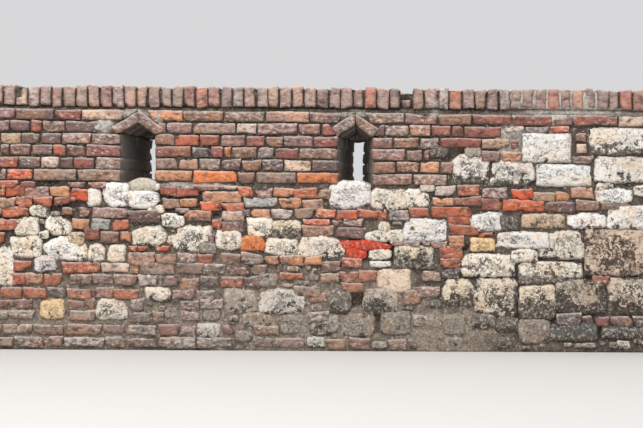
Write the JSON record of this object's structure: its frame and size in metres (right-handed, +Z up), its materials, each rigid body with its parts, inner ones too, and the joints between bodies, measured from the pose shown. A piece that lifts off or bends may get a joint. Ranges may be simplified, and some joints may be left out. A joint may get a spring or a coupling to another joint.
{
  "type": "brick garden wall",
  "caption": "Old garden wall of brick and rubble limestone with splayed loopholes under leaning-brick gables, a closed bay patched in stone, and a coping of bricks on edge.",
  "frame": {"origin": "middle of the wall's length and thickness at ground level", "axes": "+X along the wall to the right as seen from the front, +Y from the mouths of the loopholes to their slits, +Z up"},
  "size_m": [5.92, 0.6, 1.8],
  "materials": {
    "old_brick": "weathered handmade brick, mixed plum, red, orange and buff",
    "coping_brick": "weathered brick on edge, grey with lichen",
    "brick_and_rubble": "rubble limestone and brick, mortar smeared",
    "limestone": "rough pale limestone, pitted and spotted with dark lichen",
    "lime_mortar": "coarse lime mortar, weathered grey-brown"
  },
  "bodies": {
    "root": {"bay_1_base": "brick_and_rubble", "bay_2_base": "brick_and_rubble", "bay_3_base": "brick_and_rubble", "bay_4_base": "brick_and_rubble", "pier_1": "old_brick", "pier_2": "old_brick", "pier_3": "old_brick", "pier_4": "old_brick", "pier_1_head": "old_brick", "pier_2_head": "old_brick", "pier_3_head": "old_brick", "pier_4_head": "old_brick", "stone_panel": "limestone", "loophole_1_sill": "limestone", "loophole_2_sill": "limestone", "loophole_3_sill": "limestone", "loophole_1_gable_left": "old_brick", "loophole_1_gable_right": "old_brick", "loophole_2_gable_left": "old_brick", "loophole_2_gable_right": "old_brick", "loophole_3_gable_left": "old_brick", "loophole_3_gable_right": "old_brick", "loophole_1_skewbacks": "lime_mortar", "loophole_2_skewbacks": "lime_mortar", "loophole_3_skewbacks": "lime_mortar", "loophole_1_lintel": "limestone", "loophole_2_lintel": "limestone", "loophole_3_lintel": "limestone", "bay_1_back_head": "old_brick", "bay_2_back_head": "old_brick", "bay_3_back_head": "old_brick", "bay_1_coping_bed": "lime_mortar", "bay_2_coping_bed": "lime_mortar", "bay_3_coping_bed": "lime_mortar", "bay_4_coping_bed": "lime_mortar", "bay_1_coping": "coping_brick", "bay_2_coping": "coping_brick", "bay_3_coping": "coping_brick", "bay_4_coping": "coping_brick"}
  },
  "joints": []
}
